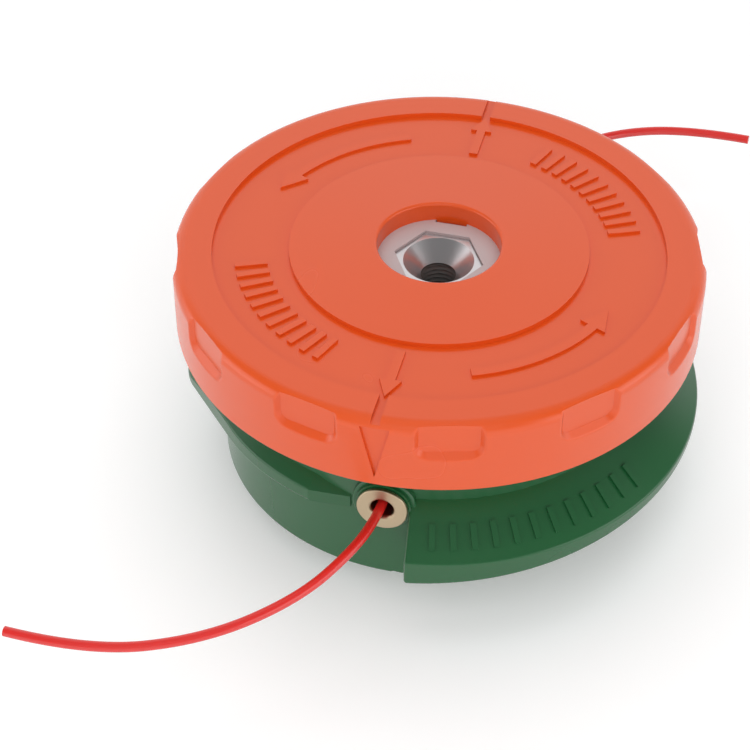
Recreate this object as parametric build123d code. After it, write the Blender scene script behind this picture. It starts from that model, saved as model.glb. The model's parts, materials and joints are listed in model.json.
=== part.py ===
from build123d import *
from math import acos, atan, cos, degrees, radians, sin, tan
import os

# Trimmer line head for a brush cutter, in millimetres.
# The orange cover, its hub and the line spool turn with the drive shaft. The green line housing,
# with its two eyelets, turns about them when line is wound on or fed out, and the tap button
# below slides up against a spring.
# Frame: +Z up along the drive shaft, eyelets on the Y axis, Z = 0 under the tap button.

# Whole head
BODY_HEIGHT = 60.0        # underside of the line housing to the top of the cover
BUTTON_DROP = 11.0        # how far the tap button stands below the line housing
LINE_D = 2.4              # trimmer line
CUT_OVER = 2.0            # how far a cutter runs past the face that it opens

# Cover
COVER_R = 65.2
COVER_SKIRT = 19.5
COVER_PLATE = 4.1
COVER_WALL = 2.8          # lower part of the skirt
GRIP_WALL = 4.8           # upper part of the skirt, behind the grip notches
GRIP_HEIGHT = 12.0        # how far the thicker wall runs down from the top
COVER_EDGE = 3.2          # rounding of the top edge
SKIRT_EDGE = 0.6          # rounding of the skirt's lower edge
DISC_R = 36.7             # raised middle disc
RING_W = 9.7              # raised outer ring
STEP = 1.2                # depth of the band between disc and ring
CROWN = 1.0               # how far the middle disc rises towards the opening
HOLE_R = 15.2             # opening over the hub
HOLE_EDGE = 0.7
TAB_W = 7.6               # driving tabs that drop from the opening into the hub
TAB_DROP = 1.0

# Grip notches round the cover
NOTCHES_A_SIDE = 6
NOTCH_FIRST = 15.0        # degrees from the arrow to the first notch
NOTCH_PITCH = 30.0        # degrees
NOTCH_W = 14.0            # flat floor of a notch
NOTCH_DEPTH = 1.5
NOTCH_DROP = 8.4          # top of the cover to the lower end of a notch's floor
NOTCH_SLOPE = 48.0        # degrees, ends and ledge
NOTCH_CORNER = 2.0        # rounding of the floor's lower corners
NOTCH_EDGE = 0.7          # rounding where a notch meets the skirt

# Marks on the cover
ARROW_TAIL_R = 39.5
ARROW_HEAD_LENGTH = 5.8
ARROW_SHAFT_W = 2.2
ARROW_HEAD_W = 5.3
MARK_HEIGHT = 0.7         # raised marks on the band
WEDGE_W = 7.0             # pointer cut into the skirt over each eyelet
WEDGE_TOP = 2.0           # below the top of the cover
WEDGE_LENGTH = 15.0
WEDGE_DEPTH = 0.8
TURN_MARK_W = 2.6         # curved arrow that shows which way to wind
TURN_MARK_START = 22.0    # degrees from the straight arrow
TURN_MARK_SWEEP = 42.0
TURN_HEAD_W = 7.0
TURN_HEAD_SWEEP = 9.0
BAR_COUNT = 11            # row of raised bars on the other side of the straight arrow
BAR_FIRST = 22.0
BAR_PITCH = 4.6
BAR_LENGTH = 8.0
BAR_W = 1.6

# Snap ring that holds the housing's rim under the cover
BEAD_PROUD = 1.4          # rim bead outside the cup wall
BEAD_HEIGHT = 3.0
SNAP_GAP = 0.4            # play round the bead
SNAP_WALL = 2.2
LIP_HEIGHT = 2.6
RIM_GAP = 0.6             # housing rim to the underside of the cover

# Hub and nut
HUB_FLANGE_R = 18.5
HUB_FLANGE = 5.0
HUB_BODY_R = 14.5
NUT_AF = 19.2             # across flats
NUT_HEIGHT = 12.0
NUT_SINK = 0.7            # nut top below the hub's face
NUT_CLEARANCE = 0.1
NUT_CONE_R = 8.75
NUT_CONE_DEPTH = 4.4
THREAD_R = 4.35           # thread of a 10 mm shaft, at its crests
SHAFT_WELL_R = 5.4        # room for the end of the shaft under the nut
SHAFT_WELL = 8.0
HUB_FLOOR = 4.2           # metal under the nut
STEM_AF = 14.0            # six-sided stem that guides the tap button
STEM_END = 8.0            # stem end above the inside of the tap button
TAB_CLEARANCE = 0.15
SLOT_REACH = 1.4          # how far the slots for the tabs run on inside the opening

# Spool
SPOOL_WEB = 3.0
SPOOL_CORE_R = 31.5
SPOOL_WALL = 2.7
SPOOL_FLANGE = 2.5
SPOOL_MIDDLE = 2.0
SPOOL_MIDDLE_R = 45.0
SPOOL_RIM_GAP = 0.9       # flanges to the inside of the housing
SPOOL_FLOOR_GAP = 2.0
SPOOL_HUB_GAP = 0.2
ANCHOR_R = 2.2            # holes that take the inner ends of the line
WINDING_R = 43.2          # valleys between the outer turns
WINDING_GAP = 0.2

# Screws that hold cover and spool together round the hub flange
SCREW_COUNT = 4
SCREW_CIRCLE_R = 24.0
SCREW_R = 2.0
SCREW_ENTRY = 3.0         # thread in the cover's plate
SCREW_GAP = 0.1
SCREW_HEAD_R = 3.6
SCREW_HEAD = 2.8
SCREW_SOCKET_AF = 3.0
SCREW_SOCKET_DEPTH = 1.6
SCREW_BOSS_R = 4.0

# Line housing
CUP_INSET = 10.8          # cup wall inside the cover's skirt, both from outside
CUP_WALL = 2.6
CUP_FLOOR = 3.0
CUP_EDGE = 0.8            # rounding of the lower edge
EYELET_HEIGHT = 25.0      # eyelet axis above the underside of the housing
BOSS_R = 7.75
BOSS_PROUD = 1.3          # boss face outside the cup wall
BOSS_EDGE = 0.5
SEAT_R = 6.8              # raised seat of the eyelet on the boss
SEAT_PROUD = 0.8

# Line shields of the housing, measured round from the eyelet that each one follows
FRONT_SHIELD_PROUD = 1.8  # outer edge of the front shield outside the cover
REAR_SHIELD_INSET = 1.6   # outer edge of the rear shield inside the cover's edge
SHIELD_ROOT = 26.8        # where the cone leaves the cup, above the underside
SHIELD_SLOPE = 36.0       # degrees, cone
SHIELD_WALL = 2.5
SHIELD_LEAD = 6.4         # degrees
SHIELD_CORNER = 14.0      # rounding, in plan, where the edge starts to draw in
FRONT_TAIL_START = 143.0  # degrees, where the straight edge meets the tail
REAR_TAIL_START = 131.0
TAIL_PROUD = 3.6          # tail outside the cup wall
TAIL_END = 161.0          # degrees
TIP_END = 171.0           # degrees, end of the tip that falls away after the tail
TIP_PROUD = 0.5
TIP_FALL = 2.6
# Lower edge of each shield's outer band, in one plane: lowest height above the underside,
# where that is (degrees) and the rise of the plane across the front shield's circle
FRONT_BAND = (8.1, -60.0, 8.0)
REAR_BAND = (9.65, -10.0, 11.8)
SHIELD_EDGE = 0.7         # rounding of the outer edges
RIB_COUNT = 12            # raised ribs on the cone
RIB_FIRST = 12.0          # degrees
RIB_PITCH = 4.6           # degrees
RIB_SHARE = 0.6           # share of the cone's width
RIB_W = 1.5
RIB_HEIGHT = 0.6

# Eyelets
EYELET_R = 2.7
EYELET_SLEEVE_R = 4.0
EYELET_NECK_R = 5.2       # shoulder that keeps the flange off the seat
EYELET_NECK = 0.4
EYELET_FLANGE_R = 6.2
EYELET_FLANGE = 0.8
EYELET_LIP = 0.9          # rounding at the mouth
EYELET_EDGE = 0.3
EYELET_GAP = 0.05

# Tap button, spring and washer
BUTTON_R = 23.4
BUTTON_WALL = 3.0
BUTTON_BASE = 4.0
BUTTON_EDGE = 3.2         # rounding of the lower edge
BUTTON_HOLE_GAP = 0.6
BUTTON_FLANGE = 3.0
BUTTON_CORE_GAP = 0.8     # flange to the inside of the spool
COLLAR_R = 11.0
COLLAR_HEIGHT = 34.0
STEM_GAP = 0.15
TOOTH_COUNT = 12
TOOTH_HEIGHT = 1.6
TOOTH_W = 6.0
TOOTH_LENGTH = 2.8
TOOTH_GAP = 0.4           # between the tips of the two rings
SPRING_R = 15.6
SPRING_WIRE = 2.2
SPRING_TURNS = 6.5
WASHER = 1.2
WASHER_R = 18.5

# Line tails, in plan, both as they would lie at the front
FRONT_TAIL_ROUTE = [
    (-0.3, -52.6),
    (-0.4, -58.5),
    (-3.0, -71.1),
    (-11.5, -89.1),
    (-28.6, -105.9),
    (-52.5, -115.6),
    (-72.6, -114.4),
]
REAR_TAIL_ROUTE = FRONT_TAIL_ROUTE[:4] + [
    (-27.7, -105.7),
    (-49.1, -112.9),
    (-66.6, -111.9),
]
TAIL_SAG = 0.3            # line below the middle of its eyelet
ARC_SHARE = 0.45          # share of the shorter run that a bend may use

# Heights and radii that follow from the sizes above
Z_CUP = BUTTON_DROP
Z_FLOOR = Z_CUP + CUP_FLOOR
Z_TOP = Z_CUP + BODY_HEIGHT
RING_R = COVER_R - RING_W
ARROW_NECK_R = RING_R - ARROW_HEAD_LENGTH
TURN_MARK_R = (DISC_R + RING_R) / 2
Z_HOLE = Z_TOP + CROWN
Z_BAND = Z_TOP - STEP
Z_PLATE = Z_TOP - COVER_PLATE
Z_SKIRT = Z_TOP - COVER_SKIRT
Z_RIM = Z_PLATE - RIM_GAP
Z_BEAD = Z_RIM - BEAD_HEIGHT
Z_LIP = Z_BEAD - SNAP_GAP
Z_EYELET = Z_CUP + EYELET_HEIGHT
Z_SPOOL_TOP = Z_PLATE - HUB_FLANGE
Z_SPOOL = Z_FLOOR + SPOOL_FLOOR_GAP
Z_NUT_TOP = Z_PLATE - NUT_SINK
Z_NUT = Z_NUT_TOP - NUT_HEIGHT
Z_HUB = Z_NUT - HUB_FLOOR
Z_WASHER = Z_HUB - WASHER
Z_TEETH = Z_FLOOR + TOOTH_HEIGHT + TOOTH_GAP
Z_FLANGE = Z_TEETH + TOOTH_HEIGHT
CUP_R = COVER_R - CUP_INSET
CUP_IN_R = CUP_R - CUP_WALL
BEAD_R = CUP_R + BEAD_PROUD
SNAP_R = BEAD_R + SNAP_GAP
BOSS_FACE = CUP_R + BOSS_PROUD
SEAT_FACE = BOSS_FACE + SEAT_PROUD
SPOOL_CORE_IN_R = SPOOL_CORE_R - SPOOL_WALL
SPOOL_FLANGE_R = CUP_IN_R - SPOOL_RIM_GAP
BUTTON_FLANGE_R = SPOOL_CORE_IN_R - BUTTON_CORE_GAP
FLOOR_HOLE_R = BUTTON_R + BUTTON_HOLE_GAP
TOOTH_R = (FLOOR_HOLE_R + BUTTON_FLANGE_R) / 2
FRONT_SHIELD_R = COVER_R + FRONT_SHIELD_PROUD
REAR_SHIELD_R = COVER_R - REAR_SHIELD_INSET
SHIELD_IN_R = CUP_R - SHIELD_WALL
TAIL_R = CUP_R + TAIL_PROUD
TIP_R = CUP_R + TIP_PROUD
CONE_FALL = tan(radians(SHIELD_SLOPE))
FRONT = -90.0             # direction of the front eyelet, degrees
SIDES = (0.0, 180.0)      # what is at the front is there again at the rear
SAME = 0.01               # edges this close to a height or radius are the ones meant


def polar(radius, angle):
    """Point in plan, with the angle in degrees round from the front eyelet."""
    turn = radians(FRONT + angle)
    return (radius * cos(turn), radius * sin(turn))


def disc(radius, low, high):
    """Upright cylinder between two heights."""
    on_floor = (Align.CENTER, Align.CENTER, Align.MIN)
    return Pos(0, 0, low) * Cylinder(radius, high - low, align=on_floor)


def hexagon(across_flats, low, high):
    """Upright six-sided prism with corners on the X axis."""
    face = RegularPolygon(across_flats / 2, 6, major_radius=False)
    return Pos(0, 0, low) * extrude(face, high - low)


def turned(points):
    """Solid of revolution about Z from its half section, as (radius, height) points."""
    section = Plane.XZ * make_face(Polyline(*points, close=True))
    return revolve(section, Axis.Z)


def prism(points, low, high):
    """Upright prism over a plan outline."""
    return Pos(0, 0, low) * extrude(make_face(Polyline(*points, close=True)), high - low)


def rims(solid, radius, height):
    """Circular edges of one radius at one height."""
    found = ShapeList()
    for edge in solid.edges().filter_by(GeomType.CIRCLE):
        if abs(edge.radius - radius) < SAME and abs(edge.center().Z - height) < SAME:
            found.append(edge)
    return found


def plan_radius(edge):
    """How far the middle of an edge lies from the shaft axis."""
    middle = edge.center()
    return Vector(middle.X, middle.Y, 0).length


def at_both_sides(solid):
    """The solid and its copy turned half round."""
    return [Rot(0, 0, side) * solid for side in SIDES]


def arc(radius, start, end):
    """Arc in plan, round the shaft axis."""
    return ThreePointArc(polar(radius, start), polar(radius, (start + end) / 2), polar(radius, end))


def arc_band(r_in, r_out, start, end, low, high):
    """Upright band between two radii and two angles."""
    outline = [
        Line(polar(r_in, start), polar(r_out, start)),
        arc(r_out, start, end),
        Line(polar(r_out, end), polar(r_in, end)),
        arc(r_in, end, start),
    ]
    return Pos(0, 0, low) * extrude(make_face(outline), high - low)


def grip_notch():
    """Cutter for one notch, at the front: an upright floor with sloping ends and ledge."""
    height = 3 * NOTCH_DROP
    floor = Plane.XZ * Pos(0, height / 2 - NOTCH_DROP) * RectangleRounded(NOTCH_W, height, NOTCH_CORNER)
    cutter = extrude(floor, NOTCH_DEPTH + CUT_OVER, taper=-NOTCH_SLOPE)
    return Pos(0, NOTCH_DEPTH - COVER_R, Z_TOP) * cutter


def notch_edges(cover):
    """Edges where the notches meet the skirt, without the ones at the cover's top face."""
    low, high = Z_TOP - NOTCH_DROP - NOTCH_DEPTH, Z_TOP - COVER_EDGE / 4
    edges = [e for e in cover.edges() if e.geom_type != GeomType.CIRCLE]
    return [e for e in edges if low < e.center().Z < high and plan_radius(e) > COVER_R - NOTCH_EDGE]


def straight_arrow():
    """Raised arrow on the band, pointing at the eyelet."""
    half, wide = ARROW_SHAFT_W / 2, ARROW_HEAD_W / 2
    outline = [
        (-half, -ARROW_TAIL_R), (-half, -ARROW_NECK_R), (-wide, -ARROW_NECK_R), (0, -RING_R),
        (wide, -ARROW_NECK_R), (half, -ARROW_NECK_R), (half, -ARROW_TAIL_R),
    ]
    return prism(outline, Z_PLATE + STEP, Z_BAND + MARK_HEIGHT)


def curved_arrow():
    """Raised arrow along the band that shows the winding direction."""
    end = TURN_MARK_START + TURN_MARK_SWEEP
    low, high = Z_PLATE + STEP, Z_BAND + MARK_HEIGHT
    inner, outer = TURN_MARK_R - TURN_MARK_W / 2, TURN_MARK_R + TURN_MARK_W / 2
    head = [
        polar(TURN_MARK_R - TURN_HEAD_W / 2, end),
        polar(TURN_MARK_R + TURN_HEAD_W / 2, end),
        polar(TURN_MARK_R, end + TURN_HEAD_SWEEP),
    ]
    return arc_band(inner, outer, TURN_MARK_START, end, low, high) + prism(head, low, high)


def bar_row():
    """Row of raised bars on the band, on the other side of the straight arrow."""
    height = STEP + MARK_HEIGHT
    bar = Pos(0, -TURN_MARK_R, Z_BAND + MARK_HEIGHT - height / 2) * Box(BAR_W, BAR_LENGTH, height)
    return [Rot(0, 0, -BAR_FIRST - i * BAR_PITCH) * bar for i in range(BAR_COUNT)]


def top_cover():
    """Orange cover: plate, gripped skirt, snap ring, screw bosses and driving tabs."""
    skirt_in, grip_in = COVER_R - COVER_WALL, COVER_R - GRIP_WALL
    z_grip = Z_TOP - GRIP_HEIGHT
    lip_r, snap_out = CUP_R + SNAP_GAP, SNAP_R + SNAP_WALL
    z_snap = Z_LIP - LIP_HEIGHT
    body = turned([
        (HOLE_R, Z_PLATE), (HOLE_R, Z_HOLE), (DISC_R, Z_TOP), (DISC_R, Z_BAND),
        (RING_R, Z_BAND), (RING_R, Z_TOP), (COVER_R, Z_TOP), (COVER_R, Z_SKIRT),
        (skirt_in, Z_SKIRT), (skirt_in, z_grip), (grip_in, z_grip), (grip_in, Z_PLATE),
        (snap_out, Z_PLATE), (snap_out, z_snap), (lip_r, z_snap), (lip_r, Z_LIP),
        (SNAP_R, Z_LIP), (SNAP_R, Z_PLATE),
    ])
    body = fillet(rims(body, COVER_R, Z_TOP), COVER_EDGE)
    body = fillet(rims(body, HOLE_R, Z_HOLE), HOLE_EDGE)
    body = fillet(rims(body, COVER_R, Z_SKIRT), SKIRT_EDGE)

    angles = [NOTCH_FIRST + i * NOTCH_PITCH for i in range(NOTCHES_A_SIDE)]
    body -= [Rot(0, 0, side + angle) * grip_notch() for side in SIDES for angle in angles]
    body = fillet(notch_edges(body), NOTCH_EDGE)

    channel_length = COVER_R - RING_R + 2 * CUT_OVER
    channel = Pos(0, CUT_OVER - RING_R - channel_length / 2, Z_BAND + CUT_OVER / 2)
    channel *= Box(ARROW_SHAFT_W, channel_length, CUT_OVER)
    z_wedge = Z_TOP - WEDGE_TOP
    wedge = [(-WEDGE_W / 2, z_wedge), (WEDGE_W / 2, z_wedge), (0, z_wedge - WEDGE_LENGTH)]
    pointer = extrude(Plane.XZ * make_face(Polyline(*wedge, close=True)), WEDGE_DEPTH + CUT_OVER)
    pointer = Pos(0, WEDGE_DEPTH - COVER_R, 0) * pointer
    body -= at_both_sides(channel) + at_both_sides(pointer)
    body += at_both_sides(straight_arrow()) + at_both_sides(curved_arrow())
    for bar in bar_row():
        body += at_both_sides(bar)

    tab_end = HUB_FLANGE_R - TAB_CLEARANCE
    tab = Pos(0, -tab_end, Z_PLATE - TAB_DROP)
    tab *= Box(TAB_W, tab_end, 2 * TAB_DROP, align=(Align.CENTER, Align.MIN, Align.MIN))
    tab = (tab & disc(tab_end, Z_SPOOL_TOP, Z_TOP)) - disc(HOLE_R, Z_SPOOL_TOP, Z_TOP)
    body += at_both_sides(tab)

    boss = disc(SCREW_BOSS_R, Z_SPOOL_TOP, Z_PLATE)
    pilot = disc(SCREW_R + SCREW_GAP, Z_SPOOL_TOP - CUT_OVER, Z_PLATE + SCREW_ENTRY + SCREW_GAP)
    places = PolarLocations(SCREW_CIRCLE_R, SCREW_COUNT, 360 / SCREW_COUNT / 2)
    body += [place * boss for place in places]
    body -= [place * pilot for place in places]
    return body


def drive_hub():
    """Light alloy hub: flange, nut pocket and the six-sided stem for the tap button."""
    body = disc(HUB_FLANGE_R, Z_SPOOL_TOP, Z_PLATE) + disc(HUB_BODY_R, Z_HUB, Z_SPOOL_TOP)
    body += hexagon(STEM_AF, BUTTON_BASE + STEM_END, Z_HUB)
    body -= hexagon(NUT_AF + 2 * NUT_CLEARANCE, Z_NUT, Z_PLATE + CUT_OVER)
    body -= disc(SHAFT_WELL_R, Z_NUT - SHAFT_WELL, Z_NUT)
    slot_w = TAB_W + 2 * TAB_CLEARANCE
    slot_depth = TAB_DROP + TAB_CLEARANCE
    slot_length = HUB_FLANGE_R - HOLE_R + SLOT_REACH
    slot = Pos(0, -HUB_FLANGE_R - CUT_OVER, Z_PLATE - slot_depth)
    slot *= Box(slot_w, slot_length + CUT_OVER, COVER_PLATE, align=(Align.CENTER, Align.MIN, Align.MIN))
    return body - at_both_sides(slot)


def drive_nut():
    """Steel nut with a wide polished lead-in cone above its thread."""
    body = hexagon(NUT_AF, Z_NUT, Z_NUT_TOP)
    z_thread = Z_NUT_TOP - NUT_CONE_DEPTH
    bore = turned([
        (0, Z_NUT - CUT_OVER), (THREAD_R, Z_NUT - CUT_OVER), (THREAD_R, z_thread),
        (NUT_CONE_R, Z_NUT_TOP), (NUT_CONE_R, Z_NUT_TOP + CUT_OVER), (0, Z_NUT_TOP + CUT_OVER),
    ])
    return body - bore


def cover_screws():
    """Pan head screws from inside the spool, through its web into the cover."""
    z_head = Z_SPOOL_TOP - SPOOL_WEB
    screw = disc(SCREW_HEAD_R, z_head - SCREW_HEAD, z_head)
    screw += disc(SCREW_R, z_head, Z_PLATE + SCREW_ENTRY)
    socket_low = z_head - SCREW_HEAD - CUT_OVER
    screw -= hexagon(SCREW_SOCKET_AF, socket_low, socket_low + CUT_OVER + SCREW_SOCKET_DEPTH)
    places = PolarLocations(SCREW_CIRCLE_R, SCREW_COUNT, 360 / SCREW_COUNT / 2)
    return Compound([place * screw for place in places])


def spool():
    """Line spool: wide hollow core, two chambers and a web that clamps the hub."""
    z_web = Z_SPOOL_TOP - SPOOL_WEB
    z_low = Z_SPOOL + SPOOL_FLANGE
    z_mid_low, z_mid = Z_EYELET - SPOOL_MIDDLE / 2, Z_EYELET + SPOOL_MIDDLE / 2
    hub_hole = HUB_BODY_R + SPOOL_HUB_GAP
    body = turned([
        (hub_hole, Z_SPOOL_TOP), (SPOOL_FLANGE_R, Z_SPOOL_TOP), (SPOOL_FLANGE_R, z_web),
        (SPOOL_CORE_R, z_web), (SPOOL_CORE_R, z_mid), (SPOOL_MIDDLE_R, z_mid),
        (SPOOL_MIDDLE_R, z_mid_low), (SPOOL_CORE_R, z_mid_low), (SPOOL_CORE_R, z_low),
        (SPOOL_FLANGE_R, z_low), (SPOOL_FLANGE_R, Z_SPOOL), (SPOOL_CORE_IN_R, Z_SPOOL),
        (SPOOL_CORE_IN_R, z_web), (hub_hole, z_web),
    ])
    hole = disc(SCREW_R + SCREW_GAP, z_web - CUT_OVER, Z_SPOOL_TOP + CUT_OVER)
    body -= [place * hole for place in PolarLocations(SCREW_CIRCLE_R, SCREW_COUNT, 360 / SCREW_COUNT / 2)]
    wall = SPOOL_WALL + 2 * CUT_OVER
    anchor = Pos(0, CUT_OVER - SPOOL_CORE_IN_R, z_mid + ANCHOR_R + CUT_OVER)
    anchor *= Rot(90, 0, 0) * disc(ANCHOR_R, 0, wall)
    return body - at_both_sides(anchor)


def winding(low, high):
    """Wound line as one solid, with its outer turns showing as ridges."""
    low, high = low + WINDING_GAP, high - WINDING_GAP
    turns = int((high - low) / LINE_D)
    pitch = (high - low) / turns
    inner = SPOOL_CORE_R + WINDING_GAP
    outline = [Line((WINDING_R, high), (inner, high)), Line((inner, high), (inner, low))]
    outline.append(Line((inner, low), (WINDING_R, low)))
    for i in range(turns):
        z = low + i * pitch
        crest = (WINDING_R + LINE_D / 2, z + pitch / 2)
        outline.append(ThreePointArc((WINDING_R, z), crest, (WINDING_R, z + pitch)))
    return revolve(Plane.XZ * make_face(outline), Axis.Z)


def line_winding_upper():
    return winding(Z_EYELET + SPOOL_MIDDLE / 2, Z_SPOOL_TOP - SPOOL_WEB)


def line_winding_lower():
    return winding(Z_SPOOL + SPOOL_FLANGE, Z_EYELET - SPOOL_MIDDLE / 2)


def spring_washer():
    """Seat of the spring under the hub."""
    hole = (STEM_AF + 4 * STEM_GAP) / (2 * cos(radians(30)))
    return disc(WASHER_R, Z_WASHER, Z_HUB) - disc(hole, Z_WASHER - CUT_OVER, Z_HUB + CUT_OVER)


def feed_spring():
    """Round wire coil from the tap button to the washer, ground flat at both ends."""
    height = Z_WASHER - BUTTON_BASE
    path = Helix(height / SPRING_TURNS, height, SPRING_R)
    wire = Plane(origin=path @ 0, z_dir=path % 0) * Circle(SPRING_WIRE / 2)
    coil = Pos(0, 0, BUTTON_BASE) * sweep(wire, path=path, is_frenet=True)
    return coil & disc(SPRING_R + SPRING_WIRE, BUTTON_BASE, Z_WASHER)


def tooth(height):
    """One ratchet tooth of either ring, at the front, on Z = 0: one steep side and one ramp."""
    side = [(-TOOTH_W / 2, 0), (TOOTH_W / 2, 0), (TOOTH_W / 2, height)]
    wedge = extrude(Plane.XZ * make_face(Polyline(*side, close=True)), TOOTH_LENGTH)
    return Pos(0, TOOTH_LENGTH / 2 - TOOTH_R, 0) * wedge


def shield_outline(outer, tail_start, inset):
    """Plan of a shield without its tip, from inside the cup wall to its edge or a line inside that."""
    outer, tail_r = outer - inset, TAIL_R - inset
    lead = SHIELD_LEAD + degrees(inset / outer)
    corner = tail_start - degrees(acos(tail_r / outer))
    face = make_face([
        Line(polar(SHIELD_IN_R, lead), polar(outer, lead)),
        arc(outer, lead, corner),
        Line(polar(outer, corner), polar(tail_r, tail_start)),
        arc(tail_r, tail_start, TAIL_END),
        Line(polar(tail_r, TAIL_END), polar(SHIELD_IN_R, TAIL_END)),
        arc(SHIELD_IN_R, TAIL_END, lead),
    ])
    place = Vector(*polar(outer, corner))
    return fillet([v for v in face.vertices() if (v.center() - place).length < SAME], SHIELD_CORNER)


def under_cone(drop):
    """Everything below the shields' cone, or below a copy of it that is lower by a wall."""
    reach = FRONT_SHIELD_R + CUT_OVER
    low = Z_CUP - CUT_OVER
    z_root = Z_CUP + SHIELD_ROOT - drop
    return turned([
        (SHIELD_IN_R, low), (reach, low), (reach, z_root - CONE_FALL * (reach - CUP_R)),
        (SHIELD_IN_R, z_root + CONE_FALL * (CUP_R - SHIELD_IN_R)),
    ])


def over_tip():
    """What is cut off over a shield's tip, so that it falls away from the end of the tail."""
    z_root, z_tail = Z_CUP + SHIELD_ROOT, Z_CUP + SHIELD_ROOT - CONE_FALL * TAIL_PROUD
    root = Vector(*polar(CUP_R, TAIL_END), z_root)
    outward = Vector(*polar(TAIL_R, TAIL_END), z_tail) - root
    along = Vector(*polar(CUP_R, TIP_END), z_root - TIP_FALL) - root
    slope = Plane(origin=root, x_dir=outward, z_dir=outward.cross(along))
    side = 2 * FRONT_SHIELD_R
    return slope * Box(side, side, side, align=(Align.CENTER, Align.CENTER, Align.MIN))


def shield(outer, tail_start, band):
    """Line shield at the front: conical flange, hanging outer band, closed leading end and low tail."""
    height = SHIELD_ROOT + SHIELD_WALL
    tip = [
        polar(SHIELD_IN_R, TAIL_END), polar(TAIL_R, TAIL_END),
        polar(TIP_R, TIP_END), polar(SHIELD_IN_R, TIP_END),
    ]
    block = Pos(0, 0, Z_CUP) * extrude(shield_outline(outer, tail_start, 0), height)
    block = (block + prism(tip, Z_CUP, Z_CUP + height)) & under_cone(0)
    low, low_at, rise = band
    tilt = degrees(atan(rise / (2 * FRONT_SHIELD_R)))
    lowest = polar(FRONT_SHIELD_R, low_at)
    below = Pos(lowest[0], lowest[1], Z_CUP + low) * Rot(0, 0, FRONT + low_at) * Rot(0, tilt, 0)
    side = 4 * FRONT_SHIELD_R
    below *= Box(side, side, side, align=(Align.CENTER, Align.CENTER, Align.MAX))
    block -= [below, over_tip()]
    block = fillet([e for e in block.edges() if plan_radius(e) > SEAT_FACE], SHIELD_EDGE)
    hollow = Pos(0, 0, Z_CUP - CUT_OVER) * extrude(shield_outline(outer, tail_start, SHIELD_WALL), height)
    shell = block - (hollow & under_cone(SHIELD_WALL))
    rib_r = (SEAT_FACE + outer) / 2
    z_rib = Z_CUP + SHIELD_ROOT - CONE_FALL * (rib_r - CUP_R)
    rib = Box(RIB_W, RIB_SHARE * (outer - SEAT_FACE), 2 * RIB_HEIGHT)
    rib = Pos(0, -rib_r, z_rib) * Rot(SHIELD_SLOPE, 0, 0) * rib
    return shell + [Rot(0, 0, RIB_FIRST + i * RIB_PITCH) * rib for i in range(RIB_COUNT)]


def line_housing():
    """Green cup with its rim bead, eyelet bosses, line shields and ratchet ring."""
    cup = turned([
        (FLOOR_HOLE_R, Z_CUP), (CUP_R, Z_CUP), (CUP_R, Z_BEAD), (BEAD_R, Z_BEAD), (BEAD_R, Z_RIM),
        (CUP_IN_R, Z_RIM), (CUP_IN_R, Z_FLOOR), (FLOOR_HOLE_R, Z_FLOOR),
    ])
    cup = fillet(rims(cup, CUP_R, Z_CUP), CUP_EDGE)
    boss = fillet(rims(disc(BOSS_R, 0, BOSS_FACE), BOSS_R, BOSS_FACE), BOSS_EDGE)
    boss = Pos(0, 0, Z_EYELET) * Rot(90, 0, 0) * (boss + disc(SEAT_R, 0, SEAT_FACE))
    boss -= disc(CUP_IN_R, Z_FLOOR, Z_RIM)
    eyelet_hole = disc(EYELET_SLEEVE_R + EYELET_GAP, CUP_IN_R - CUT_OVER, SEAT_FACE + CUT_OVER)
    eyelet_hole = Pos(0, 0, Z_EYELET) * Rot(90, 0, 0) * eyelet_hole
    cup += shield(FRONT_SHIELD_R, FRONT_TAIL_START, FRONT_BAND)
    cup += Rot(0, 0, SIDES[1]) * shield(REAR_SHIELD_R, REAR_TAIL_START, REAR_BAND)
    cup += at_both_sides(boss)
    cup -= at_both_sides(eyelet_hole)
    floor_tooth = Pos(0, 0, Z_FLOOR) * tooth(TOOTH_HEIGHT)
    return cup + [Rot(0, 0, i * 360 / TOOTH_COUNT) * floor_tooth for i in range(TOOTH_COUNT)]


def eyelet(side):
    """Flanged metal eyelet with a rounded mouth, pressed into a boss of the housing."""
    under = SEAT_FACE + EYELET_NECK
    face = under + EYELET_FLANGE
    body = turned([
        (EYELET_R, CUP_IN_R), (EYELET_SLEEVE_R, CUP_IN_R), (EYELET_SLEEVE_R, SEAT_FACE),
        (EYELET_NECK_R, SEAT_FACE), (EYELET_NECK_R, under), (EYELET_FLANGE_R, under),
        (EYELET_FLANGE_R, face), (EYELET_R, face),
    ])
    body = fillet(rims(body, EYELET_R, face), EYELET_LIP)
    body = fillet(rims(body, EYELET_FLANGE_R, face), EYELET_EDGE)
    return Rot(0, 0, side) * Pos(0, 0, Z_EYELET) * Rot(90, 0, 0) * body


def line_tail(side, route):
    """Stiff length of line that leaves an eyelet and curls round in a level plane."""
    points = [Vector(x, y, Z_EYELET - TAIL_SAG) for x, y in route]
    runs = [end - start for start, end in zip(points, points[1:])]
    radii = []
    for before, after in zip(runs, runs[1:]):
        half_turn = radians(before.get_angle(after)) / 2
        radii.append(ARC_SHARE * min(before.length, after.length) / tan(half_turn))
    path = FilletPolyline(*points, radius=radii)
    section = Plane(origin=path @ 0, z_dir=path % 0) * Circle(LINE_D / 2)
    tube = sweep(section, path=path)
    print("tail radii", [round(r, 1) for r in radii], "length", round(path.length, 2))
    print("tail volume", round(tube.volume, 2), "section x length", round(section.area * path.length, 2))
    return Rot(0, 0, side) * tube


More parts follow.
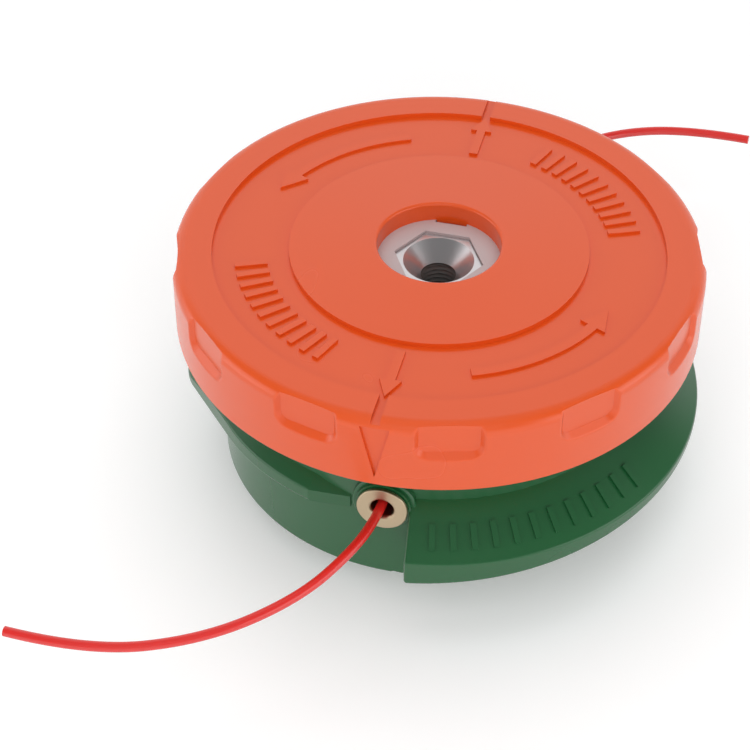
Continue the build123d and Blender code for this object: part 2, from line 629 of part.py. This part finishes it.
def tap_button():
    """Black tap button: hollow barrel, ratchet flange and a collar that slides on the hub's stem."""
    z_top = Z_FLANGE + BUTTON_FLANGE
    z_collar = BUTTON_BASE + COLLAR_HEIGHT
    barrel_in = BUTTON_R - BUTTON_WALL
    body = turned([
        (0, 0), (BUTTON_R, 0), (BUTTON_R, Z_FLANGE), (BUTTON_FLANGE_R, Z_FLANGE), (BUTTON_FLANGE_R, z_top),
        (barrel_in, z_top), (barrel_in, BUTTON_BASE), (COLLAR_R, BUTTON_BASE), (COLLAR_R, z_collar),
        (0, z_collar),
    ])
    body = fillet(rims(body, BUTTON_R, 0), BUTTON_EDGE)
    body -= hexagon(STEM_AF + 2 * STEM_GAP, BUTTON_BASE, z_collar + CUT_OVER)
    hanging_tooth = Pos(0, 0, Z_FLANGE) * Rot(0, 180, 0) * tooth(TOOTH_HEIGHT)
    return body + [Rot(0, 0, i * 360 / TOOTH_COUNT) * hanging_tooth for i in range(TOOTH_COUNT)]


front, rear = SIDES
pieces = {
    "top_cover": top_cover(),
    "drive_hub": drive_hub(),
    "drive_nut": drive_nut(),
    "cover_screws": cover_screws(),
    "spool": spool(),
    "line_winding_upper": line_winding_upper(),
    "line_winding_lower": line_winding_lower(),
    "spring_washer": spring_washer(),
    "feed_spring": feed_spring(),
    "line_housing": line_housing(),
    "eyelet_front": eyelet(front),
    "eyelet_rear": eyelet(rear),
    "line_tail_front": line_tail(front, FRONT_TAIL_ROUTE),
    "line_tail_rear": line_tail(rear, REAR_TAIL_ROUTE),
    "tap_button": tap_button(),
}

os.makedirs("parts", exist_ok=True)
for name, solid in pieces.items():
    export_step(solid, f"parts/{name}.step")
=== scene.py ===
# %% [markdown]
# # A trimmer line head
# This notebook dresses the line head of a brush cutter. The frame holds the solid pieces at their
# real size: an orange cover with a drive nut, a green line housing with two shields, metal eyelets,
# and the spool, spring and tap button inside. Here they get their finishes, the nut gets a real
# thread, and the two line tails become smooth tubes. One unit is one metre, so sizes are written
# in millimetres times MM.

# %% Load the frame
import json
from math import cos, pi, radians, sin, tau

import bmesh
import bpy
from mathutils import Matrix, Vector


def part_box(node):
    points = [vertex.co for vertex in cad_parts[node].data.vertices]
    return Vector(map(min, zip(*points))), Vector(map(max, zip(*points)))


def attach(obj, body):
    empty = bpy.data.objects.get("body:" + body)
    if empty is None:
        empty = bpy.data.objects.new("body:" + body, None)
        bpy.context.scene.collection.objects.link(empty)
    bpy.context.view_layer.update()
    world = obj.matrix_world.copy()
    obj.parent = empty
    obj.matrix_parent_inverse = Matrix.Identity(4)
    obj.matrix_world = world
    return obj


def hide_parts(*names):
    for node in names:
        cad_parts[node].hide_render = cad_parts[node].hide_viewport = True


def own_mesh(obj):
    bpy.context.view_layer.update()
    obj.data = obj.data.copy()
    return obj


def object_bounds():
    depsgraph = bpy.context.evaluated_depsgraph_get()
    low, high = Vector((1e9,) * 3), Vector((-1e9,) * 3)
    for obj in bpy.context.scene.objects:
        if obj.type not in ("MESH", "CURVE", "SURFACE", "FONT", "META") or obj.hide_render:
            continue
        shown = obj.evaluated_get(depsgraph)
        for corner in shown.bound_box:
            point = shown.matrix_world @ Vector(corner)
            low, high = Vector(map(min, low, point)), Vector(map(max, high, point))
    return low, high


MM = 0.001
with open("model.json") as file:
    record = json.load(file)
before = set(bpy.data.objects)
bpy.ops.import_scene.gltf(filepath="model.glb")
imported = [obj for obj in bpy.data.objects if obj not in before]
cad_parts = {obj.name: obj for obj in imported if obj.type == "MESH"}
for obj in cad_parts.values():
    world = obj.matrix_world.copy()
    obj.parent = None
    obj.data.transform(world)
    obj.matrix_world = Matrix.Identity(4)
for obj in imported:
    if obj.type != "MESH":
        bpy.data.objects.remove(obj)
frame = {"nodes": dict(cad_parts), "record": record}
nodes = frame["nodes"]
cad_low, cad_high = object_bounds()
scene = bpy.context.scene
print("nodes:", len(nodes), "CAD size in mm:", [round(s / MM, 1) for s in cad_high - cad_low])

# %% [markdown]
# ## Camera
# The picture was taken with a long lens, from about half a metre away and from above. The camera gets the
# same place, tilt and lens, and it comes first. The head's front eyelet points along -Y, and the camera
# stands a little to the right of it.

# %% Place the camera
CAMERA_PLACE = (83.4 * MM, -396.2 * MM, 394.7 * MM)
CAMERA_DOWN = radians(42.18)
CAMERA_HEADING = radians(14.1)
LENS = 101.7
SENSOR = 36.0

camera = bpy.data.objects.new("camera", bpy.data.cameras.new("camera"))
camera.data.lens = LENS
camera.data.sensor_width = SENSOR
camera.location = CAMERA_PLACE
camera.rotation_euler = (pi / 2 - CAMERA_DOWN, 0, CAMERA_HEADING)
scene.collection.objects.link(camera)
scene.camera = camera
print("camera is", round(camera.location.length / MM), "mm from the origin")

# %% [markdown]
# ## Line tails
# Each tail is a stiff nylon line that leaves its eyelet and keeps the curl that it had on the spool.
# A NURBS line of order 3 bends evenly between its control points, so a few of them give the whole
# curl. The order is set after the points, because a shorter spline can't hold it. The bare line gives
# the tail's path. With a round bevel it becomes a tube, which is kept as a mesh, because the box of a
# curve also counts its control points.

# %% Draw the two tails
LINE_D = 2.4 * MM
EYELET_Z = 36.0 * MM
TAIL_SAG = 0.3 * MM
TAIL_Z = EYELET_Z - TAIL_SAG
NEAR_EYELET = [(-0.3, -52.6), (-0.4, -58.5), (-3.0, -71.1), (-11.5, -89.1)]
TAIL_ROUTES = {
    "front": NEAR_EYELET + [(-28.6, -105.9), (-52.5, -115.6), (-72.5, -114.4)],
    "rear": NEAR_EYELET + [(-27.7, -105.7), (-49.1, -112.9), (-66.5, -111.9)],
}
TURNS = {"front": 1, "rear": -1}
BEVEL_STEPS = 8
CURVE_STEPS = 24
CAP_SHARP = 40


def smooth(piece, angle):
    """Smooth shading, with edges sharper than an angle kept crisp."""
    piece.data.polygons.foreach_set("use_smooth", [True] * len(piece.data.polygons))
    piece.data.set_sharp_from_angle(angle=radians(angle))


def line_tail(name, points):
    """One tail as a round tube along a NURBS line; returns it with that line's points and length."""
    curve = bpy.data.curves.new(name, "CURVE")
    curve.dimensions = "3D"
    spline = curve.splines.new("NURBS")
    spline.points.add(len(points) - 1)
    for control, (x, y) in zip(spline.points, points):
        control.co = (x, y, TAIL_Z, 1)
    spline.order_u = 3
    spline.use_endpoint_u = True
    spline.resolution_u = CURVE_STEPS
    guide = bpy.data.objects.new(name + "_guide", curve)
    path = [vertex.co.copy() for vertex in bpy.data.meshes.new_from_object(guide).vertices]
    curve.bevel_depth = LINE_D / 2
    curve.bevel_resolution = BEVEL_STEPS
    curve.use_fill_caps = True
    tail = bpy.data.objects.new(name, bpy.data.meshes.new_from_object(guide))
    smooth(tail, CAP_SHARP)
    scene.collection.objects.link(tail)
    return tail, path, spline.calc_length()


tails = {}
for place, route in TAIL_ROUTES.items():
    points = [(TURNS[place] * x * MM, TURNS[place] * y * MM) for x, y in route]
    tail, path, tail_length = line_tail("tail_" + place, points)
    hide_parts("line_tail_" + place)
    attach(tail, "housing")
    tails[place] = tail
    print(tail.name, "is", round(tail_length / MM, 1), "mm long")

# %% [markdown]
# ## Drive nut
# The nut is screwed onto the gearbox shaft, so its bore has a fine left-hand thread. The frame's nut
# has a plain bore. A thread could be faked with a bump map, but its crests break the edge of the hole,
# which only real geometry shows. The nut is a grid of rings: each ring is a circle or a hexagon at one
# height, and the rings of the bore follow a helix. Joining the last ring to the first closes the mesh.

# %% Section of the nut
THREAD_PITCH = 1.25 * MM
THREAD_DEPTH = 0.6 * MM
THREAD_ROWS = 64
CONE_TOP_R = 8.75 * MM
CONE_ROWS = 6
NUT_BEVEL = 0.08 * MM
NUT_SIDES = 6

nut_low, nut_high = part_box("drive_nut")
nut_flat_r = (nut_high.y - nut_low.y) / 2
thread = frame["record"]["mounts"][0]
thread_r = thread["dims"]["r_mm"] * MM
thread_top = nut_low.z + thread["dims"]["length_mm"] * MM


def hex_radius(angle, flat_r):
    """Distance from the middle of a hexagon to its edge, with corners on the X axis."""
    side = tau / NUT_SIDES
    return flat_r / cos(angle % side - side / 2)


def thread_radius(angle, z):
    """Radius of the left-hand thread at one place, fading out at both ends of the bore."""
    turn = (z / THREAD_PITCH + angle / tau) % 1
    groove = 1 - abs(2 * turn - 1)
    ends = min(z - nut_low.z, thread_top - z) / THREAD_PITCH
    return thread_r + THREAD_DEPTH * groove * min(1, max(0, ends))


def nut_ring(angle):
    """(radius, height) points of the nut's section at one angle, from the bore round the outside."""
    section = []
    for row in range(THREAD_ROWS + 1):
        z = nut_low.z + (thread_top - nut_low.z) * row / THREAD_ROWS
        section.append((thread_radius(angle, z), z))
    for row in range(1, CONE_ROWS + 1):
        share = row / CONE_ROWS
        section.append((thread_r + (CONE_TOP_R - thread_r) * share,
                        thread_top + (nut_high.z - thread_top) * share))
    section.append((hex_radius(angle, nut_flat_r - NUT_BEVEL), nut_high.z))
    section.append((hex_radius(angle, nut_flat_r), nut_high.z - NUT_BEVEL))
    section.append((hex_radius(angle, nut_flat_r), nut_low.z + NUT_BEVEL))
    section.append((hex_radius(angle, nut_flat_r - NUT_BEVEL), nut_low.z))
    return section


print("nut is", round(2 * nut_flat_r / MM, 1), "mm across flats, bore", round(2 * thread_r / MM, 1), "mm")

# %% [markdown]
# The sections are set side by side round the axis and joined into one closed mesh. A screw modifier could
# turn a section too, but it can't change from a round bore to a hexagon. The rows of the thread get a
# second material: rough, with a darker colour that paints the shade in the deep bore, where the cone is
# polished.

# %% Build the threaded nut
NUT_SEGMENTS = 120
NUT_SHARP = 32


def ring_grid(name, section_at, segments, second_rows):
    """Closed mesh of sections round the Z axis; its first rows get the second material."""
    mesh = bmesh.new()
    rings = []
    for step in range(segments):
        angle = tau * step / segments
        rings.append([mesh.verts.new((r * cos(angle), r * sin(angle), z)) for r, z in section_at(angle)])
    for step, ring in enumerate(rings):
        beside = rings[(step + 1) % segments]
        for row in range(len(ring)):
            above = (row + 1) % len(ring)
            face = mesh.faces.new((ring[row], ring[above], beside[above], beside[row]))
            face.material_index = 1 if row < second_rows else 0
    bmesh.ops.recalc_face_normals(mesh, faces=mesh.faces)
    data = bpy.data.meshes.new(name)
    mesh.to_mesh(data)
    mesh.free()
    piece = bpy.data.objects.new(name, data)
    scene.collection.objects.link(piece)
    return piece


nut = ring_grid("nut_threaded", nut_ring, NUT_SEGMENTS, THREAD_ROWS)
smooth(nut, NUT_SHARP)
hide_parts("drive_nut")
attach(nut, "driven")
print(nut.name, "has", len(nut.data.polygons), "faces")

# %% [markdown]
# ## Feed spring
# The spring stands between its washer and the tap button. It rides with the washer, so when the button is
# pushed in, its turns have to close up. Here the spring only gets a mesh of its own, which is not
# squashed.

# %% Give the spring its own mesh
spring = nodes["feed_spring"]
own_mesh(spring)

# %% [markdown]
# ## Shared effects
# Two effects come back in several finishes. Moulded plastic is never quite even: the colour drifts a
# little over the piece, and the mould leaves a very fine grain. Turned metal has rings round its axis.
# Each effect is a node group, built once, that puts out a colour, a roughness or a height, and every
# material places it with its own values.

# %% Helpers for node groups
def node_group(name, inputs, outputs):
    """Empty shader group with its sockets, and its input and output nodes."""
    group = bpy.data.node_groups.new(name, "ShaderNodeTree")
    for title, kind, value in inputs:
        socket = group.interface.new_socket(title, in_out="INPUT", socket_type="NodeSocket" + kind)
        socket.default_value = value
    for title, kind in outputs:
        group.interface.new_socket(title, in_out="OUTPUT", socket_type="NodeSocket" + kind)
    return group, group.nodes.new("NodeGroupInput"), group.nodes.new("NodeGroupOutput")


def math_node(tree, operation, first, second):
    """Math node on two links or numbers; returns its output."""
    node = tree.nodes.new("ShaderNodeMath")
    node.operation = operation
    for socket, value in zip(node.inputs, (first, second)):
        if isinstance(value, bpy.types.NodeSocket):
            tree.links.new(value, socket)
        else:
            socket.default_value = value
    return node.outputs[0]


print("helpers for node groups are ready")

# %% [markdown]
# The skin of a moulded part could be one flat colour, but then a large face looks drawn. A coarse noise
# lets colour and gloss drift by a few percent, and a fine noise gives the grain's height. Both use the
# object's own coordinates, so the pattern stays on the piece when it moves.

# %% Moulded skin group
DRIFT_SCALE = 26
GRAIN_DETAIL = 3
NOISE_MIDDLE = 0.5

skin, skin_in, skin_out = node_group(
    "moulded_skin",
    [("Colour", "Color", (0.5, 0.5, 0.5, 1)), ("Drift", "Float", 0.04), ("Roughness", "Float", 0.35),
     ("Unevenness", "Float", 0.08), ("Grain", "Float", 1500)],
    [("Colour", "Color"), ("Roughness", "Float"), ("Height", "Float")],
)
place = skin.nodes.new("ShaderNodeTexCoord").outputs["Object"]
drift = skin.nodes.new("ShaderNodeTexNoise")
drift.inputs["Scale"].default_value = DRIFT_SCALE
grain = skin.nodes.new("ShaderNodeTexNoise")
grain.inputs["Detail"].default_value = GRAIN_DETAIL
for noise in (drift, grain):
    skin.links.new(place, noise.inputs["Vector"])
skin.links.new(skin_in.outputs["Grain"], grain.inputs["Scale"])
centred = math_node(skin, "SUBTRACT", drift.outputs["Fac"], NOISE_MIDDLE)
lighter = math_node(skin, "ADD", math_node(skin, "MULTIPLY", centred, skin_in.outputs["Drift"]), 1)
tinted = skin.nodes.new("ShaderNodeVectorMath")
tinted.operation = "SCALE"
skin.links.new(skin_in.outputs["Colour"], tinted.inputs[0])
skin.links.new(lighter, tinted.inputs["Scale"])
skin.links.new(tinted.outputs[0], skin_out.inputs["Colour"])
uneven = math_node(skin, "MULTIPLY", centred, skin_in.outputs["Unevenness"])
skin.links.new(math_node(skin, "ADD", uneven, skin_in.outputs["Roughness"]), skin_out.inputs["Roughness"])
skin.links.new(grain.outputs["Fac"], skin_out.inputs["Height"])
print("group", skin.name, "has", len(skin.nodes), "nodes")

# %% [markdown]
# A lathe leaves rings round the axis of a piece. A wave texture would make them all alike, so a noise in
# one dimension is read along the distance from the axis. Each material says where its axis is.

# %% Turned marks group
turned, turned_in, turned_out = node_group(
    "turned_marks",
    [("Centre", "Vector", (0, 0, 0)), ("Across", "Vector", (1, 1, 0)), ("Rings", "Float", 4000),
     ("Roughness", "Float", 0.3), ("Unevenness", "Float", 0.2)],
    [("Roughness", "Float"), ("Height", "Float")],
)
place = turned.nodes.new("ShaderNodeTexCoord").outputs["Object"]
from_axis = turned.nodes.new("ShaderNodeVectorMath")
from_axis.operation = "SUBTRACT"
turned.links.new(place, from_axis.inputs[0])
turned.links.new(turned_in.outputs["Centre"], from_axis.inputs[1])
flat = turned.nodes.new("ShaderNodeVectorMath")
flat.operation = "MULTIPLY"
turned.links.new(from_axis.outputs[0], flat.inputs[0])
turned.links.new(turned_in.outputs["Across"], flat.inputs[1])
radius = turned.nodes.new("ShaderNodeVectorMath")
radius.operation = "LENGTH"
turned.links.new(flat.outputs[0], radius.inputs[0])
rings = turned.nodes.new("ShaderNodeTexNoise")
rings.noise_dimensions = "1D"
turned.links.new(radius.outputs["Value"], rings.inputs["W"])
turned.links.new(turned_in.outputs["Rings"], rings.inputs["Scale"])
centred = math_node(turned, "SUBTRACT", rings.outputs["Fac"], NOISE_MIDDLE)
uneven = math_node(turned, "MULTIPLY", centred, turned_in.outputs["Unevenness"])
rough = math_node(turned, "ADD", uneven, turned_in.outputs["Roughness"])
turned.links.new(rough, turned_out.inputs["Roughness"])
turned.links.new(rings.outputs["Fac"], turned_out.inputs["Height"])
print("group", turned.name, "has", len(turned.nodes), "nodes")

# %% [markdown]
# ## Plastics and line
# The cover and the housing are glossy moulded plastic: their colour is deep, and it is the white room
# mirrored in the surface that makes a face look paler. So the colour is written as deep as it shows on
# edges that mirror nothing, and the gloss does the rest. The inner pieces and the tap button are a
# plain black plastic, and the line is drawn nylon, smooth and bright red.

# %% Plastic finishes
BUMP_DISTANCE = 0.05 * MM


def bumped(material, height, strength):
    """Sends a height through a bump node into the shader's normal."""
    tree = material.node_tree
    bump = tree.nodes.new("ShaderNodeBump")
    bump.inputs["Strength"].default_value = strength
    bump.inputs["Distance"].default_value = BUMP_DISTANCE
    tree.links.new(height, bump.inputs["Height"])
    tree.links.new(bump.outputs[0], tree.nodes["Principled BSDF"].inputs["Normal"])


def new_material(name):
    """Material with a Principled shader; returns the material and that shader."""
    material = bpy.data.materials.new(name)
    material.use_nodes = True
    return material, material.node_tree.nodes["Principled BSDF"]


def effect(material, group, values):
    """Places a shared effect in a material with its own values; returns its outputs."""
    node = material.node_tree.nodes.new("ShaderNodeGroup")
    node.node_tree = group
    for title, value in values.items():
        node.inputs[title].default_value = value
    return node.outputs


def plastic(name, colour, roughness, gloss, grain_depth, **more):
    """Moulded plastic: colour drift, uneven gloss and a fine grain."""
    material, shader = new_material(name)
    out = effect(material, skin, {"Colour": colour, "Roughness": roughness, **more})
    material.node_tree.links.new(out["Colour"], shader.inputs["Base Color"])
    material.node_tree.links.new(out["Roughness"], shader.inputs["Roughness"])
    shader.inputs["Specular IOR Level"].default_value = gloss
    bumped(material, out["Height"], grain_depth)
    return material


def dress(material, *names):
    """Gives CAD nodes their material."""
    for name in names:
        nodes[name].data.materials.clear()
        nodes[name].data.materials.append(material)
    print(material.name, "on", ", ".join(names))


orange = plastic("cover_orange", (0.72, 0.080, 0.008, 1), 0.26, 0.65, 0.05)
green = plastic("housing_green", (0.012, 0.098, 0.030, 1), 0.26, 0.55, 0.05)
black = plastic("inner_black", (0.016, 0.016, 0.017, 1), 0.42, 0.5, 0.15, Grain=900)
red = plastic("line_red", (0.70, 0.020, 0.016, 1), 0.22, 0.8, 0.04, Drift=0.08)
dress(orange, "top_cover")
dress(green, "line_housing")
dress(black, "spool", "tap_button")
dress(red, "line_winding_upper", "line_winding_lower")
for tail in tails.values():
    tail.data.materials.append(red)

# %% [markdown]
# ## Metals
# The hub is a blasted light alloy ring, pale and dull. A fully metallic shader would mirror the dark side
# of the room in its walls, so it is only a little metallic. The nut is turned steel: its cone is polished,
# so it mirrors the room in bands, and its thread is rough, with a darker colour painted in as the shade of
# the deep bore. The eyelets are plated in a pale champagne tone. Screws, washer and spring are hidden and
# get a plain zinc and wire finish.

# %% Metal finishes
def metal(name, colour, roughness, depth, metallic=1, **more):
    """Turned or drawn metal with rings round its axis."""
    material, shader = new_material(name)
    out = effect(material, turned, {"Roughness": roughness, **more})
    shader.inputs["Base Color"].default_value = colour
    shader.inputs["Metallic"].default_value = metallic
    material.node_tree.links.new(out["Roughness"], shader.inputs["Roughness"])
    bumped(material, out["Height"], depth)
    return material


EYELET_CENTRE = (0, 0, EYELET_Z)
alloy = metal("hub_alloy", (0.55, 0.465, 0.465, 1), 0.50, 0.06, metallic=0.15, Rings=3000)
steel = metal("nut_steel", (0.72, 0.70, 0.71, 1), 0.30, 0.02, Rings=6000, Unevenness=0.05)
# painted shade: the thread's steel is darker than the cone's, standing in for the shade in the deep bore
bore_painted_shade = metal("bore_steel_painted_shade", (0.40, 0.39, 0.38, 1), 0.60, 0.05)
champagne = metal("eyelet_metal", (0.51, 0.41, 0.275, 1), 0.34, 0.05,
                  Centre=EYELET_CENTRE, Across=(1, 0, 1))
zinc = metal("screw_zinc", (0.50, 0.51, 0.53, 1), 0.40, 0.10, Rings=2500)
wire = metal("spring_wire", (0.20, 0.20, 0.21, 1), 0.35, 0.08, Rings=2500)
dress(alloy, "drive_hub")
dress(champagne, "eyelet_front", "eyelet_rear")
dress(zinc, "cover_screws", "spring_washer")
dress(wire, "feed_spring")
nut.data.materials.append(steel)
nut.data.materials.append(bore_painted_shade)

# %% [markdown]
# ## Studio
# The head stands on white paper in front of a white wall. An even white world would make every glossy face
# pale. So the world is white only at the wall behind the head and round the horizon, and dark above and
# on the camera's side: faces that mirror the wall look pale, and the others keep their deep colour.

# %% World
WHITE = 1.0
DARK = 0.23
WALL_EDGE = (0.30, 0.75)
HORIZON_EDGE = (0.15, 0.32)

world = bpy.data.worlds.new("white_wall")
scene.world = world
world.use_nodes = True
tree = world.node_tree
background = tree.nodes["Background"]
background.inputs["Color"].default_value = (1, 1, 1, 1)
direction = tree.nodes.new("ShaderNodeTexCoord").outputs["Generated"]


def faded(towards, start, end, at_start, at_end):
    """Brightness that changes smoothly with how far a direction points towards an axis."""
    share = tree.nodes.new("ShaderNodeVectorMath")
    share.operation = "DOT_PRODUCT"
    share.inputs[1].default_value = towards
    tree.links.new(direction, share.inputs[0])
    fade = tree.nodes.new("ShaderNodeMapRange")
    fade.interpolation_type = "SMOOTHSTEP"
    for title, value in (("From Min", start), ("From Max", end), ("To Min", at_start), ("To Max", at_end)):
        fade.inputs[title].default_value = value
    tree.links.new(share.outputs["Value"], fade.inputs["Value"])
    return fade.outputs["Result"]


wall = faded((-sin(CAMERA_HEADING), cos(CAMERA_HEADING), 0), *WALL_EDGE, DARK, WHITE)
horizon = faded((0, 0, 1), *HORIZON_EDGE, WHITE, DARK)
tree.links.new(math_node(tree, "MAXIMUM", wall, horizon), background.inputs["Strength"])
print("world is", WHITE, "at the wall and the horizon,", DARK, "elsewhere")

# %% [markdown]
# Two broad lamps, overhead and above the camera, give the plain light in which a colour shows about as it
# is written. They are kept out of the gloss, where they would make white patches on the flat cover. Two
# smaller soft boxes at the sides do show in it, and draw the highlights along edges and in the nut's cone.

# %% Lamps
def soft_box(name, place, width, height, watts, mirrored):
    """Area lamp that faces the head; mirrored says whether it shows in glossy surfaces."""
    lamp = bpy.data.objects.new(name, bpy.data.lights.new(name, "AREA"))
    lamp.data.shape = "RECTANGLE"
    lamp.data.size = width
    lamp.data.size_y = height
    lamp.data.energy = watts
    lamp.location = place
    aim = (cad_low + cad_high) / 2 - lamp.location
    lamp.rotation_euler = aim.to_track_quat("-Z", "Y").to_euler()
    lamp.visible_glossy = mirrored
    scene.collection.objects.link(lamp)
    print(lamp.name, watts, "W")


soft_box("overhead", (0, 0.1, 1.45), 1.2, 1.2, 6.6, False)
soft_box("fill", (0.2, -1.05, 0.95), 1.2, 1.2, 9.4, False)
soft_box("left_box", (-1.0, -0.3, 0.35), 1.0, 0.6, 2.4, True)
soft_box("right_box", (1.0, -0.2, 0.35), 1.0, 0.6, 2.4, True)

# %% [markdown]
# The floor is nearly white paper, and it keeps the head's shadow. More light would make it whiter, but the
# head too, so the paper glows a little instead, only for rays that come from the camera or from a mirror.
# Seen from below it is clear, so the underside of the head can be looked at.

# %% Floor
FLOOR_SIZE = 6.0
FLOOR_GAP = 0.1 * MM

floor_mesh = bmesh.new()
bmesh.ops.create_grid(floor_mesh, x_segments=1, y_segments=1, size=FLOOR_SIZE / 2)
floor_data = bpy.data.meshes.new("floor")
floor_mesh.to_mesh(floor_data)
floor_mesh.free()
floor = bpy.data.objects.new("floor", floor_data)
scene.collection.objects.link(floor)
floor.location.z = -FLOOR_GAP
print("floor is", FLOOR_SIZE, "m wide")

# %% Paper of the floor
FLOOR_WHITE = 0.93
FLOOR_ROUGHNESS = 0.9
FLOOR_LIFT = 0.16

paper, paper_shader = new_material("floor_paper")
paper_shader.inputs["Base Color"].default_value = (FLOOR_WHITE, FLOOR_WHITE, FLOOR_WHITE, 1)
paper_shader.inputs["Roughness"].default_value = FLOOR_ROUGHNESS
paper_tree = paper.node_tree
rays = paper_tree.nodes.new("ShaderNodeLightPath").outputs
mirrored = math_node(paper_tree, "MAXIMUM", rays["Is Glossy Ray"], rays["Is Transmission Ray"])
looked_at = math_node(paper_tree, "MAXIMUM", rays["Is Camera Ray"], mirrored)
paper_shader.inputs["Emission Color"].default_value = (1, 1, 1, 1)
lift = math_node(paper_tree, "MULTIPLY", looked_at, FLOOR_LIFT)
paper_tree.links.new(lift, paper_shader.inputs["Emission Strength"])
underside = paper_tree.nodes.new("ShaderNodeNewGeometry").outputs["Backfacing"]
clear = paper_tree.nodes.new("ShaderNodeBsdfTransparent").outputs[0]
one_sided = paper_tree.nodes.new("ShaderNodeMixShader")
for source, socket in zip((underside, paper_shader.outputs[0], clear), one_sided.inputs):
    paper_tree.links.new(source, socket)
paper_tree.links.new(one_sided.outputs[0], paper_tree.nodes["Material Output"].inputs["Surface"])
floor_data.materials.append(paper)
print(paper.name, "glows by", FLOOR_LIFT)

# %% [markdown]
# ## Finish
# The colours are meant to show as they are written, so the view transform is the plain one.

# %% View transform
scene.view_settings.view_transform = "Standard"
